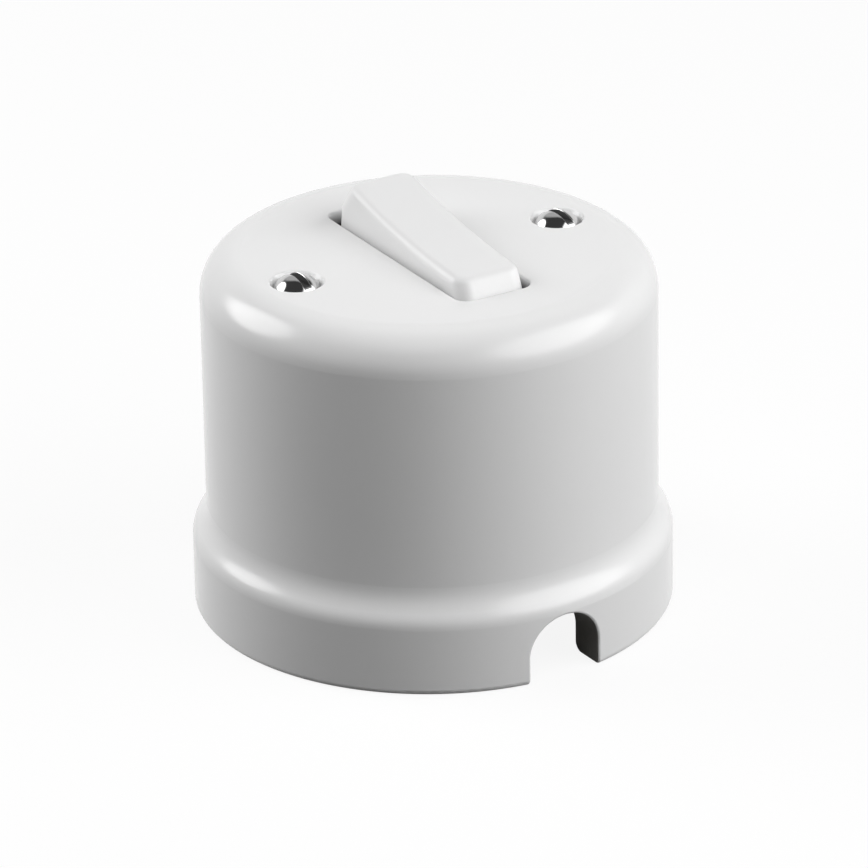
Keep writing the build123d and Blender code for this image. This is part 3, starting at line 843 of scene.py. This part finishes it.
def make_camera(studio):
    """Camera of the photo, as fitted to the outline of the switch."""
    right, up, back = camera_axes(studio)
    data = bpy.data.cameras.new("photo_camera")
    data.sensor_width = SENSOR_WIDTH
    data.lens = studio.focal_pixels * data.sensor_width / IMAGE_PIXELS
    data.clip_start = CLIP_START
    data.clip_end = CLIP_END
    camera = add_object("photo_camera", data)
    aim = Vector((0, 0, studio.aim_height)) + right * studio.aim_right + up * studio.aim_up
    turn = Matrix((right, up, back)).transposed().to_4x4()
    camera.matrix_world = Matrix.Translation(aim + back * studio.distance) @ turn
    bpy.context.scene.camera = camera


def seen_directly(tree):
    """1 for rays from the camera, a reflection or a transmission."""
    path = tree.nodes.new("ShaderNodeLightPath")
    camera = Wire(tree, path.outputs["Is Camera Ray"])
    glossy = Wire(tree, path.outputs["Is Glossy Ray"])
    through = Wire(tree, path.outputs["Is Transmission Ray"])
    return camera.math("MAXIMUM", glossy).math("MAXIMUM", through)


def make_world(studio):
    """White at the horizon, pale high up behind, dark elsewhere; even grey as a source of light."""
    world = bpy.data.worlds.new("studio")
    bpy.context.scene.world = world
    world.use_nodes = True
    tree = world.node_tree
    shown = seen_directly(tree)
    direction = add_node(tree, "ShaderNodeTexCoord", {}, {})
    rise = add_node(tree, "ShaderNodeSeparateXYZ", {}, {0: direction}, "Z")
    room = rise.span(*HORIZON_FADE, 1.0, studio.ceiling, smooth=True)
    _, _, back = camera_axes(studio)
    behind = Vector((-back.x, -back.y, 0)).normalized()
    centre = behind * math.cos(BACKDROP_RISE) + Vector((0, 0, math.sin(BACKDROP_RISE)))
    ends = {0: direction, 1: centre}
    near = add_node(tree, "ShaderNodeVectorMath", {"operation": "DOT_PRODUCT"}, ends, "Value")
    pale = near.span(*BACKDROP_FADE, 0.0, studio.backdrop, smooth=True)
    room = room.math("MAXIMUM", pale)
    background = tree.nodes["Background"]
    background.inputs["Color"].default_value = (1, 1, 1, 1)
    level = shown * room + (1 - shown) * studio.ambient
    tree.links.new(level.socket, background.inputs["Strength"])


def make_floor(studio):
    """White where it is looked at, grey for the light that it throws back."""
    mesh = bpy.data.meshes.new("floor")
    corners = ((-1, -1), (1, -1), (1, 1), (-1, 1))
    points = [(x * FLOOR_REACH, y * FLOOR_REACH, 0) for x, y in corners]
    mesh.from_pydata(points, [], [(0, 1, 2, 3)])
    floor = add_object("floor", mesh)
    material = bpy.data.materials.new("floor")
    material.use_nodes = True
    tree = material.node_tree
    tree.nodes.remove(tree.nodes["Principled BSDF"])
    shown = seen_directly(tree)
    grey = shown * (FLOOR_WHITE - studio.bounce) + studio.bounce
    colour = add_node(tree, "ShaderNodeCombineColor", {}, {0: grey, 1: grey, 2: grey})
    matt = add_node(tree, "ShaderNodeBsdfDiffuse", {}, {"Color": colour})
    white = add_node(tree, "ShaderNodeEmission", {}, {"Strength": 1.0})
    share = shown * (1 - studio.floor_shade)
    mix = add_node(tree, "ShaderNodeMixShader", {}, {0: share, 1: matt, 2: white})
    tree.links.new(mix.socket, tree.nodes["Material Output"].inputs["Surface"])
    mesh.materials.append(material)


def lamp_place(studio, bearing, elevation, distance):
    """Point at a bearing from the camera's side, positive to the right, and at an elevation."""
    right, _, back = camera_axes(studio)
    toward = Vector((back.x, back.y, 0)).normalized()
    across = Vector((right.x, right.y, 0)).normalized()
    level = toward * math.cos(bearing) + across * math.sin(bearing)
    return (level * math.cos(elevation) + Vector((0, 0, math.sin(elevation)))) * distance


class SWITCH_OT_stage(Operator):
    """Set up the floor, the lamps and the camera"""

    bl_idname = "switch.stage"
    bl_label = "Stage"

    def execute(self, context):
        studio = context.scene.switch_studio
        context.scene.view_settings.view_transform = "Standard"
        make_world(studio)
        make_floor(studio)
        middle = Vector((0, 0, studio.aim_height))
        for box in LAMPS:
            place = middle + lamp_place(studio, box.bearing, box.elevation, LAMP_DISTANCE)
            power = getattr(studio, f"{box.side}_power")
            lamp = soft_box(f"{box.side}_lamp", place, middle, box, power)
            lamp.visible_glossy = box.mirrored
        make_camera(studio)
        return {"FINISHED"}


class SWITCH_PT_panel(Panel):
    """Sidebar list of the switch's settings and steps"""

    bl_idname = "SWITCH_PT_panel"
    bl_label = "Light switch"
    bl_space_type = "VIEW_3D"
    bl_region_type = "UI"
    bl_category = "Light switch"

    def draw(self, context):
        layout = self.layout
        for group_name in GROUPS:
            group = getattr(context.scene, group_name)
            for name in group.__annotations__:
                layout.prop(group, name)
        for step in STEPS:
            layout.operator(step.bl_idname)


GROUPS = {
    "switch_finishes": SwitchFinishes,
    "switch_screws": SwitchScrews,
    "switch_studio": SwitchStudio,
}
STEPS = (SWITCH_OT_finishes, SWITCH_OT_screws, SWITCH_OT_stage)
CLASSES = (*GROUPS.values(), *STEPS, SWITCH_PT_panel)


def register():
    for cls in CLASSES:
        bpy.utils.register_class(cls)
    for name, group in GROUPS.items():
        setattr(bpy.types.Scene, name, PointerProperty(type=group))


def unregister():
    for name in GROUPS:
        delattr(bpy.types.Scene, name)
    for cls in reversed(CLASSES):
        bpy.utils.unregister_class(cls)


def main():
    register()
    bpy.ops.switch.finishes()
    bpy.ops.switch.screws()
    bpy.ops.switch.stage()


if __name__ == "__main__":
    main()
